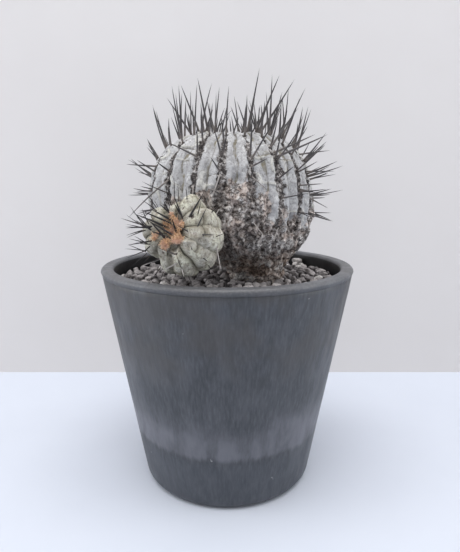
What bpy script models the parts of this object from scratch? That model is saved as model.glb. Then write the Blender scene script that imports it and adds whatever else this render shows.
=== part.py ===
"""Potted round cactus: a chalk-white ribbed globe cactus with one young offset, in a tapered grey pot.

The plant stands in potting mix under a top dressing of loose lava gravel. Units are metres, +Z is up,
and the origin is the middle of the pot's underside. Front is -Y.
"""

import math
import random

import bmesh
import bpy
from mathutils import Matrix, Vector

MM = 0.001
GAP = 0.35 * MM  # clearance between neighbouring solids

# Pot
POT_HEIGHT = 136.5 * MM
RIM_RADIUS = 77.5 * MM
BASE_RADIUS = 53.0 * MM  # where the wall's line meets the ground
CORNER_RADIUS = 6.5 * MM
WALL = 6.0 * MM
FLOOR = 5.5 * MM
LIP_INNER_RADIUS = 69.8 * MM
LIP_HEIGHT = 3.8 * MM
LIP_STEP = 0.15 * MM  # how far the lip stands proud of the wall
LIP_EDGE = 1.9 * MM  # rounding of the lip's two edges
POT_SEGMENTS = 48
TAPER = (RIM_RADIUS - BASE_RADIUS) / POT_HEIGHT
DRAIN_HOLES = 4
DRAIN_RADIUS = 5.0 * MM
DRAIN_CIRCLE = 20.0 * MM
GROOVE_WIDTH = 5.0 * MM
GROOVE_DEPTH = 1.6 * MM

# Inside the pot
NET_SIDE = 58.0 * MM
NET_THICKNESS = 1.0 * MM
NET_CELLS = 5
NET_BAR = 1.6 * MM
SOIL_TOP = 118.0 * MM
GRAVEL_EDGE_TOP = 129.6 * MM
GRAVEL_MIDDLE_TOP = 131.4 * MM
GRAVEL_RINGS = 9
GRAVEL_PIT = 1.7 * MM
LOOSE_STONES = 14

# Main stem: outline from root tip to crown as (radius, height, centre x, centre y), in millimetres.
STEM_OUTLINE = [
    (0.0, 96.0, 18.0, -8.0),
    (5.0, 98.5, 18.0, -8.0),
    (9.0, 108.0, 18.0, -8.0),
    (13.5, 120.0, 18.0, -8.0),
    (16.8, 130.0, 18.0, -8.0),
    (19.0, 136.5, 17.0, -7.6),
    (27.0, 141.8, 11.5, -6.0),
    (36.8, 147.6, 6.5, -4.4),
    (43.2, 153.6, 4.0, -3.5),
    (46.9, 161.0, 3.0, -3.1),
    (48.6, 170.0, 2.5, -3.0),
    (48.8, 179.0, 2.4, -3.0),
    (48.0, 189.0, 2.4, -3.0),
    (45.6, 198.0, 2.4, -3.0),
    (41.0, 204.6, 2.4, -3.0),
    (35.2, 209.6, 2.4, -3.0),
    (28.0, 213.0, 2.4, -3.0),
    (20.5, 214.6, 2.4, -3.0),
    (14.0, 212.6, 2.4, -3.0),
    (8.0, 210.0, 2.4, -3.0),
    (0.0, 209.4, 2.4, -3.0),
]
STEM_FIRST_RIB = -97.3  # degrees from +X towards +Y, so this rib is almost at the front
# One number for each rib: how far it stands from even spacing, in degrees.
STEM_RIB_SHIFTS = (1.1, 1.3, 1.2, 0.6, -0.6, -1.2, 0.5, 1.4, 0.3, -1.0)
STEM_RIB_SHIFTS += (-0.4, 1.2, 0.8, -0.9, -0.2, -2.2, -4.0, -0.8, 2.3)
STEM_FURROW = 2.4 * MM
CROWN_FADE = 20.0 * MM  # inside this radius the furrows grow shallow
RIBS_START = 136.0 * MM  # the corky neck below this height is round
RIBS_FULL = 153.0 * MM

# Offset: outline about its own centre and axis, in millimetres.
OFFSET_OUTLINE = [
    (0.0, -20.0, 0.0, 0.0),
    (8.0, -19.0, 0.0, 0.0),
    (14.0, -13.5, 0.0, 0.0),
    (18.6, -7.0, 0.0, 0.0),
    (20.7, 0.0, 0.0, 0.0),
    (19.9, 6.0, 0.0, 0.0),
    (16.6, 11.2, 0.0, 0.0),
    (11.6, 14.2, 0.0, 0.0),
    (7.0, 14.2, 0.0, 0.0),
    (3.5, 12.6, 0.0, 0.0),
    (0.0, 12.2, 0.0, 0.0),
]
OFFSET_FIRST_RIB = -11.0
OFFSET_RIB_SHIFTS = (0.0, 4.0, 1.0, -2.0, -3.0, -4.0, 0.0, 2.0, 4.0, 1.0)
OFFSET_FURROW = 3.0 * MM
OFFSET_RIBS_START = -18.0 * MM
OFFSET_RIBS_FULL = -6.0 * MM
OFFSET_CENTRE = Vector((-22.8, -54.0, 158.8)) * MM
OFFSET_AXIS = Vector((-0.27, -0.89, 0.35)).normalized()
OFFSET_CLEARANCE = 27.0 * MM  # the main stem's spine rows keep this far from the offset's centre

# Areole rows: felt bands along the rib crests, with the spines that stand on them.
FELT_THICKNESS = 0.9 * MM
SPINE_FOOT = 0.45 * MM  # half the width of a spine at its foot


def clear_scene():
    for thing in list(bpy.data.objects):
        bpy.data.objects.remove(thing)


def material(name, colour, roughness):
    """A plain Principled material; the plant and its pot have no metal in them."""
    made = bpy.data.materials.new(name)
    made.use_nodes = True
    shader = made.node_tree.nodes["Principled BSDF"]
    shader.inputs["Base Color"].default_value = (*colour, 1.0)
    shader.inputs["Roughness"].default_value = roughness
    shader.inputs["Metallic"].default_value = 0.0
    return made


def add_object(name, mesh, finish, smooth=True):
    """Links a mesh as a named node, with round parts shaded smooth."""
    made = bpy.data.objects.new(name, mesh)
    bpy.context.scene.collection.objects.link(made)
    mesh.materials.append(finish)
    if smooth:
        mesh.shade_smooth()
        mesh.set_sharp_from_angle(angle=math.radians(40))
    return made


def mesh_from_bmesh(name, work):
    bmesh.ops.recalc_face_normals(work, faces=work.faces)
    mesh = bpy.data.meshes.new(name)
    work.to_mesh(mesh)
    work.free()
    return mesh


def loft(name, rings):
    """A closed mesh through rings of points. A ring of one point is a pole."""
    work = bmesh.new()
    made = [[work.verts.new(point) for point in ring] for ring in rings]
    for below, above in zip(made, made[1:]):
        count = max(len(below), len(above))
        for i in range(count):
            j = (i + 1) % count
            near = (below[i % len(below)], below[j % len(below)])
            far = (above[j % len(above)], above[i % len(above)])
            corners = []
            for vert in near + far:
                if vert not in corners:
                    corners.append(vert)
            work.faces.new(corners)
    return mesh_from_bmesh(name, work)


def revolve(name, profile, segments, centre=(0.0, 0.0)):
    """A closed solid of revolution about a vertical axis; the profile starts and ends on that axis."""
    rings = []
    for radius, height in profile:
        if radius == 0.0:
            rings.append([Vector((centre[0], centre[1], height))])
            continue
        turn = [2 * math.pi * i / segments for i in range(segments)]
        middle = Vector((centre[0], centre[1], height))
        rings.append([middle + radius * Vector((math.cos(a), math.sin(a), 0.0)) for a in turn])
    return loft(name, rings)


def arc(centre, radius, start, end, steps):
    """Points of an arc in the (radius, height) plane, with angles in degrees."""
    points = []
    for i in range(steps + 1):
        a = math.radians(start + (end - start) * i / steps)
        points.append((centre[0] + radius * math.cos(a), centre[1] + radius * math.sin(a)))
    return points


def cut(target, cutter, name):
    """Takes a hidden helper object away from a part."""
    cutter.hide_render = True
    cutter.display_type = "WIRE"
    modifier = target.modifiers.new(name, "BOOLEAN")
    modifier.operation = "DIFFERENCE"
    modifier.solver = "EXACT"
    modifier.object = cutter


def wall_radius(height):
    """The pot's outer radius on the wall's straight line."""
    return BASE_RADIUS + TAPER * height


def smoothstep(low, high, value):
    t = min(1.0, max(0.0, (value - low) / (high - low)))
    return t * t * (3 - 2 * t)


class Stem:
    """A ribbed stem lofted along its outline. Angles run from the local X axis towards the local Y axis."""

    def __init__(self, outline, first_rib, shifts, furrow, ribs_start, ribs_full, matrix):
        self.outline = [Vector(row) * MM for row in outline]
        self.ribs = len(shifts)
        self.first_rib = first_rib
        self.shifts = shifts
        self.furrow = furrow
        self.ribs_start = ribs_start
        self.ribs_full = ribs_full
        self.matrix = matrix

    def ring(self, u):
        """(radius, height, centre x, centre y) at u, which runs from 0 at the root to 1 at the crown."""
        last = len(self.outline) - 1
        place = min(max(u, 0.0), 1.0) * last
        k = min(int(place), last - 1)
        t = place - k
        before = self.outline[max(k - 1, 0)]
        here = self.outline[k]
        there = self.outline[k + 1]
        beyond = self.outline[min(k + 2, last)]
        return (
            2 * here
            + (there - before) * t
            + (2 * before - 5 * here + 4 * there - beyond) * t * t
            + (3 * here - before - 3 * there + beyond) * t * t * t
        ) * 0.5

    def rib_angle(self, rib):
        """The angle of a rib's crest, or of any place between two crests."""
        below = math.floor(rib)
        share = rib - below
        near, far = self.shifts[below % self.ribs], self.shifts[(below + 1) % self.ribs]
        return math.radians(self.first_rib + 360 * rib / self.ribs + near + (far - near) * share)

    def furrow_depth(self, ring):
        """How deep the furrows are at a ring: none on the neck, and shallower towards the crown."""
        near_crown = min(1.0, ring[0] / CROWN_FADE)
        return self.furrow * smoothstep(self.ribs_start, self.ribs_full, ring[1]) * near_crown

    def local_point(self, u, rib, grow=0.0):
        ring = self.ring(u)
        angle = self.rib_angle(rib)
        from_crest = abs(rib - round(rib)) * 2
        radius = max(ring[0], 0.0) + grow - self.furrow_depth(ring) * from_crest**2.6
        return Vector((ring[2] + radius * math.cos(angle), ring[3] + radius * math.sin(angle), ring[1]))

    def point(self, u, rib, grow=0.0):
        return self.matrix @ self.local_point(u, rib, grow)

    def frame(self, u, rib):
        """(point on the crest, outward normal, direction up the rib, direction across the rib)."""
        step = 0.004
        here = self.local_point(u, rib)
        along = (self.local_point(u + step, rib) - self.local_point(u - step, rib)).normalized()
        angle = self.rib_angle(rib)
        across = Vector((-math.sin(angle), math.cos(angle), 0.0))
        turn = self.matrix.to_3x3()
        outward = across.cross(along).normalized()
        return self.matrix @ here, turn @ outward, turn @ along, turn @ across

    def solid(self, name, stations, grow=0.0):
        """A closed mesh with four points a rib: the crest, the two flanks and the furrow."""
        shares = (0.0, 0.3, 0.5, 0.7)
        places = [rib + share for rib in range(self.ribs) for share in shares]
        rings = []
        for u in stations:
            ring = self.ring(u)
            if u in (0.0, 1.0):
                end = Vector((ring[2], ring[3], ring[1] + (grow if u else -grow)))
                rings.append([self.matrix @ end])
            else:
                rings.append([self.point(u, rib, grow) for rib in places])
        return loft(name, rings)


def offset_matrix():
    """Turns the offset's own axes into place: its Z axis points out of its crown."""
    across = (Vector((1, 0, 0)) - OFFSET_AXIS * OFFSET_AXIS.x).normalized()
    up = OFFSET_AXIS.cross(across)
    turn = Matrix((across, up, OFFSET_AXIS)).transposed()
    return Matrix.Translation(OFFSET_CENTRE) @ turn.to_4x4()


MAIN = Stem(
    STEM_OUTLINE,
    STEM_FIRST_RIB,
    STEM_RIB_SHIFTS,
    STEM_FURROW,
    RIBS_START,
    RIBS_FULL,
    Matrix.Identity(4),
)
OFFSET = Stem(
    OFFSET_OUTLINE,
    OFFSET_FIRST_RIB,
    OFFSET_RIB_SHIFTS,
    OFFSET_FURROW,
    OFFSET_RIBS_START,
    OFFSET_RIBS_FULL,
    offset_matrix(),
)
MAIN_STATIONS = [i / 20 for i in range(21)]
OFFSET_STATIONS = [i / 10 for i in range(11)]


def spine_direction(stem, u, rib, seed):
    """A spine stands out from its areole, leaning a little up the rib and to one side."""
    chance = random.Random(seed)
    _, outward, along, across = stem.frame(u, rib)
    lean = chance.uniform(-0.10, 0.30)
    side = chance.uniform(-0.28, 0.28)
    return (outward + along * lean + across * side).normalized()


def distance_to_segment(point, start, end):
    span = end - start
    t = min(1.0, max(0.0, (point - start).dot(span) / span.length_squared))
    return (point - start - span * t).length


def meets_other_stem(foot, tip, on_main):
    """Whether a spine would run into the other stem, where none can grow."""
    if on_main:
        return distance_to_segment(OFFSET_CENTRE, foot, tip) < OFFSET_CLEARANCE
    ring = MAIN.ring(0.55)
    axis_foot = Vector((ring[2], ring[3], tip.z))
    return (tip - axis_foot).length < ring[0] + 4 * MM


def draw_spine(work, face, foot, tip_point, frame):
    """Replaces one flat face of a felt band by a small square foot that tapers to the spine's tip."""
    _, _, along, across = frame
    rim = list(face.verts)
    foot_ring = []
    for vert in rim:
        away = vert.co - foot
        x = math.copysign(SPINE_FOOT, away.dot(across))
        y = math.copysign(SPINE_FOOT, away.dot(along))
        foot_ring.append(work.verts.new(foot + across * x + along * y))
    tip = work.verts.new(tip_point)
    work.faces.remove(face)
    for i in range(len(rim)):
        j = (i + 1) % len(rim)
        work.faces.new((rim[i], rim[j], foot_ring[j], foot_ring[i]))
        work.faces.new((foot_ring[i], foot_ring[j], tip))


def areole_row(name, stem, rib, stations, half_widths, lengths, seed, on_main, finish):
    """One rib's felt band, with a straight spine drawn out of each of its top faces."""
    work = bmesh.new()
    sections = []
    kept = []
    for u, half in zip(stations, half_widths):
        point, outward, along, across = stem.frame(u, rib)
        if on_main and (point - OFFSET_CENTRE).length < OFFSET_CLEARANCE:
            break
        low, high = GAP, GAP + FELT_THICKNESS
        corners = [(-half, low), (-0.7 * half, high), (0.7 * half, high), (half, low)]
        sections.append([work.verts.new(point + across * x + outward * h) for x, h in corners])
        kept.append(u)
    tops = []
    for near, far in zip(sections, sections[1:]):
        for i in range(4):
            face = work.faces.new((near[i], near[(i + 1) % 4], far[(i + 1) % 4], far[i]))
            if i == 1:
                tops.append(face)
    work.faces.new(sections[0])
    work.faces.new(list(reversed(sections[-1])))
    bmesh.ops.recalc_face_normals(work, faces=work.faces)
    for i, (face, length) in enumerate(zip(tops, lengths)):
        u = 0.5 * (kept[i] + kept[i + 1])
        foot = face.calc_center_median()
        direction = spine_direction(stem, u, rib, seed + i)
        tip_point = foot + direction * length
        if length == 0.0 or meets_other_stem(foot, tip_point, on_main):
            continue
        draw_spine(work, face, foot, tip_point, stem.frame(u, rib))
    return add_object(name, mesh_from_bmesh(name, work), finish, smooth=False)


def pot_profile():
    """Half section of the pot, from the middle of the underside round to the middle of the floor."""
    lean = math.degrees(math.atan(TAPER))
    corner_x = wall_radius(CORNER_RADIUS) - CORNER_RADIUS / math.cos(math.radians(lean))
    lip_foot = POT_HEIGHT - LIP_HEIGHT
    outer_edge = (RIM_RADIUS - LIP_EDGE, POT_HEIGHT - LIP_EDGE)
    inner_edge = (LIP_INNER_RADIUS + LIP_EDGE, POT_HEIGHT - LIP_EDGE)
    floor_radius = wall_radius(FLOOR) - WALL
    profile = [(0.0, 0.0)]
    profile += arc((corner_x, CORNER_RADIUS), CORNER_RADIUS, -90, -lean, 4)
    profile += [(wall_radius(lip_foot - 0.5 * MM) - LIP_STEP, lip_foot - 0.5 * MM)]
    profile += [(wall_radius(lip_foot), lip_foot)]
    profile += arc(outer_edge, LIP_EDGE, 0, 90, 3)
    profile += arc(inner_edge, LIP_EDGE, 90, 180, 3)
    profile += [(LIP_INNER_RADIUS, POT_HEIGHT - 4 * MM)]
    profile += [(wall_radius(POT_HEIGHT - 6 * MM) - WALL, POT_HEIGHT - 6 * MM)]
    profile += [(floor_radius + 2 * MM, FLOOR + 4 * MM), (floor_radius - 2 * MM, FLOOR), (0.0, FLOOR)]
    return profile


def build_pot(finish):
    pot = add_object("pot", revolve("pot", pot_profile(), POT_SEGMENTS), finish)
    holes = bmesh.new()
    grooves = bmesh.new()
    for i in range(DRAIN_HOLES):
        turn = Matrix.Rotation(2 * math.pi * (i + 0.5) / DRAIN_HOLES, 4, "Z")
        bmesh.ops.create_cone(
            holes,
            cap_ends=True,
            segments=16,
            radius1=DRAIN_RADIUS,
            radius2=DRAIN_RADIUS,
            depth=3 * FLOOR,
            matrix=turn @ Matrix.Translation((DRAIN_CIRCLE, 0, FLOOR / 2)),
        )
        size = Matrix.Diagonal((BASE_RADIUS, GROOVE_WIDTH, 2 * GROOVE_DEPTH, 1))
        middle = Matrix.Translation((DRAIN_CIRCLE + BASE_RADIUS / 2, 0, 0))
        bmesh.ops.create_cube(grooves, size=1.0, matrix=turn @ middle @ size)
    for name, work in (("drain_hole_cutters", holes), ("drain_groove_cutters", grooves)):
        cut(pot, add_object(name, mesh_from_bmesh(name, work), finish, smooth=False), name)


def build_drainage_net(finish):
    work = bmesh.new()
    place = Matrix.Translation((0, 0, FLOOR + GAP + NET_THICKNESS / 2))
    bmesh.ops.create_grid(work, x_segments=NET_CELLS, y_segments=NET_CELLS, size=NET_SIDE / 2, matrix=place)
    cells = list(work.faces)
    bmesh.ops.inset_individual(work, faces=cells, thickness=NET_BAR / 2)
    bmesh.ops.delete(work, geom=cells, context="FACES")
    net = add_object("drainage_net", mesh_from_bmesh("drainage_net", work), finish, smooth=False)
    sheet = net.modifiers.new("thickness", "SOLIDIFY")
    sheet.thickness = NET_THICKNESS
    sheet.offset = 0.0


def inner_wall(height):
    return wall_radius(height) - WALL - GAP


def build_potting_mix(finish, stem_cutter):
    """Fills the pot round the taproot and over the net."""
    bottom = FLOOR + GAP
    floor_radius = inner_wall(FLOOR)
    profile = [(0.0, bottom), (floor_radius - 4 * MM, bottom), (floor_radius - GAP, FLOOR + 5 * MM)]
    profile += [(inner_wall(SOIL_TOP), SOIL_TOP), (40 * MM, SOIL_TOP), (0.0, SOIL_TOP)]
    soil = add_object("potting_mix", revolve("potting_mix", profile, POT_SEGMENTS), finish)
    work = bmesh.new()
    side = NET_SIDE + 2 * GAP
    height = 2 * (NET_THICKNESS + 2 * GAP)
    size = Matrix.Diagonal((side, side, height, 1))
    bmesh.ops.create_cube(work, size=1.0, matrix=Matrix.Translation((0, 0, bottom)) @ size)
    recess_mesh = mesh_from_bmesh("net_recess_cutter", work)
    recess = add_object("net_recess_cutter", recess_mesh, finish, smooth=False)
    cut(soil, recess, "net_recess")
    cut(soil, stem_cutter, "root_pocket")


def gravel_top(radius):
    """The gravel's height: it is heaped a little towards the plant."""
    share = radius / inner_wall(GRAVEL_EDGE_TOP)
    return GRAVEL_MIDDLE_TOP - (GRAVEL_MIDDLE_TOP - GRAVEL_EDGE_TOP) * share * share


def build_gravel_bed(finish, stem_cutter):
    """The packed stones as one solid with a bumpy top; the pits only go down from the bed's level."""
    chance = random.Random(5)
    bottom = SOIL_TOP + GAP
    low, high = inner_wall(bottom), inner_wall(GRAVEL_EDGE_TOP)
    profile = [(low, bottom, 0.0), (high, GRAVEL_EDGE_TOP, 0.0)]
    for i in range(1, GRAVEL_RINGS):
        radius = high * (1 - i / GRAVEL_RINGS)
        profile.append((radius, gravel_top(radius), GRAVEL_PIT))
    rings = [[Vector((0.0, 0.0, bottom))]]
    turn = [2 * math.pi * i / POT_SEGMENTS for i in range(POT_SEGMENTS)]
    for radius, height, pit in profile:
        ring = [(radius * math.cos(a), radius * math.sin(a), height - pit * chance.random()) for a in turn]
        rings.append([Vector(point) for point in ring])
    rings.append([Vector((0.0, 0.0, GRAVEL_MIDDLE_TOP))])
    bed = add_object("gravel_bed", loft("gravel_bed", rings), finish, smooth=False)
    cut(bed, stem_cutter, "neck_hole")


def build_loose_stones(finish):
    """Rounded lava stones lying on the bed, spread by the golden angle."""
    for i in range(LOOSE_STONES):
        chance = random.Random(40 + i)
        name = f"gravel_stone_{i + 1:02d}"
        work = bmesh.new()
        bmesh.ops.create_icosphere(work, subdivisions=2, radius=1.0)
        size = Vector((chance.uniform(4.0, 5.4), chance.uniform(3.2, 4.2), chance.uniform(2.3, 3.0))) * MM
        for _ in range(7):
            side = Vector([chance.gauss(0, 1) for _ in range(3)]).normalized()
            limit = chance.uniform(0.72, 0.9)
            for vert in work.verts:
                vert.co -= side * 0.8 * max(0.0, vert.co.dot(side) - limit)
        for vert in work.verts:
            vert.co = Vector((vert.co.x * size.x, vert.co.y * size.y, vert.co.z * size.z))
        lowest = min(vert.co.z for vert in work.verts)
        stone = add_object(name, mesh_from_bmesh(name, work), finish)
        turn = math.radians(137.5) * i + 0.5
        radius = (44 + 19 * ((i * 5) % LOOSE_STONES) / LOOSE_STONES) * MM
        height = gravel_top(radius - size.x) + GAP - lowest
        stone.location = (radius * math.cos(turn), radius * math.sin(turn), height)
        stone.rotation_euler = (0, 0, chance.uniform(0, math.pi))


def build_crown_wool(name, stem, radius, base, top, finish):
    """The woolly cushion in the hollow of a crown."""
    profile = [(0.0, base), (radius * 0.7, base), (radius, base + 0.35 * (top - base))]
    profile += [(radius * 0.8, base + 0.8 * (top - base)), (radius * 0.4, top), (0.0, top)]
    mesh = revolve(name, profile, 14, centre=(stem.ring(1.0)[2], stem.ring(1.0)[3]))
    wool = add_object(name, mesh, finish)
    wool.matrix_world = stem.matrix


def build_main_stem(skin, wool, spine):
    add_object("main_stem", MAIN.solid("main_stem", MAIN_STATIONS), skin)
    build_crown_wool("main_crown_wool", MAIN, 11.5 * MM, 211.2 * MM, 214.4 * MM, wool)
    stations = [0.85, 0.80, 0.75, 0.70, 0.65, 0.60, 0.55, 0.50]
    half_widths = [w * MM for w in (1.1, 1.5, 1.8, 2.1, 2.2, 2.3, 2.3, 2.0)]
    for rib in range(MAIN.ribs):
        chance = random.Random(700 + rib)
        lengths = [base * chance.uniform(0.88, 1.06) * MM for base in (32, 29, 26, 22, 17, 13)]
        name = f"main_rib_{rib + 1:02d}_spines"
        areole_row(name, MAIN, rib, stations, half_widths, lengths, 1000 + 50 * rib, True, spine)


def build_offset(skin, wool, spine, stem_cutter):
    body = add_object("offset_stem", OFFSET.solid("offset_stem", OFFSET_STATIONS), skin)
    cut(body, stem_cutter, "seat_on_main_stem")
    build_crown_wool("offset_crown_wool", OFFSET, 5.4 * MM, 13.6 * MM, 15.4 * MM, wool)
    stations = [0.8, 0.7, 0.6, 0.5]
    half_widths = [w * MM for w in (1.2, 1.6, 1.6, 1.2)]
    for rib in range(OFFSET.ribs):
        chance = random.Random(900 + rib)
        lengths = [base * chance.uniform(0.85, 1.1) * MM for base in (23, 17, 13)]
        name = f"offset_rib_{rib + 1:02d}_spines"
        areole_row(name, OFFSET, rib, stations, half_widths, lengths, 3000 + 50 * rib, False, spine)


def main():
    clear_scene()
    pot_plastic = material("pot_plastic", (0.085, 0.095, 0.110), 0.62)
    net_plastic = material("net_plastic", (0.02, 0.02, 0.02), 0.5)
    mix = material("potting_mix", (0.09, 0.06, 0.04), 0.95)
    lava = material("lava_gravel", (0.21, 0.18, 0.17), 0.9)
    main_skin = material("main_skin", (0.52, 0.51, 0.50), 0.85)
    offset_skin = material("offset_skin", (0.56, 0.57, 0.46), 0.8)
    grey_wool = material("grey_wool", (0.30, 0.25, 0.20), 0.95)
    orange_wool = material("orange_wool", (0.62, 0.30, 0.13), 0.95)
    spine = material("spine", (0.045, 0.042, 0.042), 0.55)

    stem_and_gap = MAIN.solid("stem_cutter", MAIN_STATIONS, grow=1.2 * GAP)
    stem_cutter = add_object("stem_cutter", stem_and_gap, main_skin)
    build_pot(pot_plastic)
    build_drainage_net(net_plastic)
    build_potting_mix(mix, stem_cutter)
    build_gravel_bed(lava, stem_cutter)
    build_loose_stones(lava)
    build_main_stem(main_skin, grey_wool, spine)
    build_offset(offset_skin, orange_wool, spine, stem_cutter)


main()
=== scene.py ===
"""Potted round cactus in a plain studio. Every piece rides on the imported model's one body."""

import itertools
import math
import random

import bmesh
import bpy
import numpy as np
from mathutils import Matrix, Vector

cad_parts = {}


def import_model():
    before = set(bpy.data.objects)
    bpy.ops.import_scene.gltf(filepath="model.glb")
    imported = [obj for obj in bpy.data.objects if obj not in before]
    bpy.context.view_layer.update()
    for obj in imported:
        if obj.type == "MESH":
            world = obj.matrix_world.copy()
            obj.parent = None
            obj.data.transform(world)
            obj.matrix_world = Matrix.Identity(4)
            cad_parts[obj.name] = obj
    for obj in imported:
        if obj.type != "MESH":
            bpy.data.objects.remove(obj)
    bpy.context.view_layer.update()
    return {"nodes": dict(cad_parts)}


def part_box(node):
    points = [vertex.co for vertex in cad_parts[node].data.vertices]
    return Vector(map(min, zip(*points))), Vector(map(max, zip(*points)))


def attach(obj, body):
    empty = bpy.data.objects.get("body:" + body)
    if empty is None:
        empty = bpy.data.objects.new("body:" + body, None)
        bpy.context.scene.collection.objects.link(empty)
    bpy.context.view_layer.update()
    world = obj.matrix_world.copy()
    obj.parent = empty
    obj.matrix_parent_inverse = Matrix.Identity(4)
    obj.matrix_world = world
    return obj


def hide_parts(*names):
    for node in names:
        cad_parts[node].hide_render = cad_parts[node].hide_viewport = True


MM = 0.001
BODY = "root"
# Large odd numbers that turn a cell's place into a number that looks random but never changes.
HASH_STEPS = (374761393, 668265263, 1440662683)
HASH_MIX = 1274126177
HASH_BITS = 0xFFFFFFFF


# ---------------------------------------------------------------- noise and mesh helpers


def value_noise(points, size, seed=0):
    """Smooth noise from -1 to 1 at each point, with bumps about `size` across."""
    place = np.asarray(points, dtype=float) / size
    cell = np.floor(place).astype(np.int64)
    part = place - cell
    part = part * part * (3 - 2 * part)
    total = np.zeros(len(place))
    for corner in itertools.product((0, 1), repeat=3):
        mixed = sum((cell[:, k] + corner[k]) * HASH_STEPS[k] for k in range(3))
        mixed = (mixed + seed * HASH_MIX) & HASH_BITS
        mixed = ((mixed ^ (mixed >> 13)) * HASH_MIX) & HASH_BITS
        mixed = mixed ^ (mixed >> 16)
        share = np.ones(len(place))
        for k in range(3):
            share *= part[:, k] if corner[k] else 1 - part[:, k]
        total += share * (mixed / 2**31 - 1)
    return total


def rough_noise(points, size, seed=0, octaves=3):
    """Several sizes of noise added together, from `size` down."""
    total = np.zeros(len(points))
    for k in range(octaves):
        total += value_noise(points, size / 2**k, seed + 17 * k) / 2**k
    return total / (2 - 2 ** (1 - octaves))


def smoothstep(low, high, value):
    t = np.clip((value - low) / (high - low), 0, 1)
    return t * t * (3 - 2 * t)


def bell(value, width):
    """1 where the value is 0, falling away to nothing over about twice the width."""
    return np.exp(-((value / width) ** 2))


def add_object(name, data):
    thing = bpy.data.objects.new(name, data)
    bpy.context.scene.collection.objects.link(thing)
    return thing


def new_piece(name, verts, faces, finish, values):
    """Makes one mesh piece that rides on the body. `values` are named numbers, one for each point."""
    mesh = bpy.data.meshes.new(name)
    mesh.from_pydata(np.asarray(verts).tolist(), [], [tuple(int(i) for i in face) for face in faces])
    mesh.materials.append(finish)
    for key, numbers in values.items():
        layer = mesh.attributes.new(key, "FLOAT", "POINT")
        layer.data.foreach_set("value", np.asarray(numbers, dtype=np.float32))
    mesh.update()
    mesh.shade_smooth()
    piece = add_object(name, mesh)
    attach(piece, BODY)
    return piece


def closed_faces(rows, columns, start=0):
    """Quads of a grid that closes on itself, and fans to the two end points that follow its own points."""
    row, column = np.meshgrid(np.arange(rows - 1), np.arange(columns), indexing="ij")
    a = start + row * columns + column
    b = start + row * columns + (column + 1) % columns
    faces = np.stack([a, b, b + columns, a + columns], axis=-1).reshape(-1, 4).tolist()
    end = start + rows * columns
    for i in range(columns):
        j = (i + 1) % columns
        faces.append((start + j, start + i, end))
        faces.append((end - columns + i, end - columns + j, end + 1))
    return faces


# ---------------------------------------------------------------- material helper


def add_node(tree, kind, inputs, output=0, **settings):
    """Adds a node and returns one of its outputs. Each input is a constant or another node's output."""
    node = tree.nodes.new(kind)
    for key, setting in settings.items():
        setattr(node, key, setting)
    for key, value in inputs.items():
        if isinstance(value, bpy.types.NodeSocket):
            tree.links.new(value, node.inputs[key])
        else:
            node.inputs[key].default_value = value
    return node.outputs[output]


def solid(colour):
    """A plain colour with its alpha. A node's output is passed on as it is."""
    return (*colour, 1.0) if isinstance(colour, tuple) else colour


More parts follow.
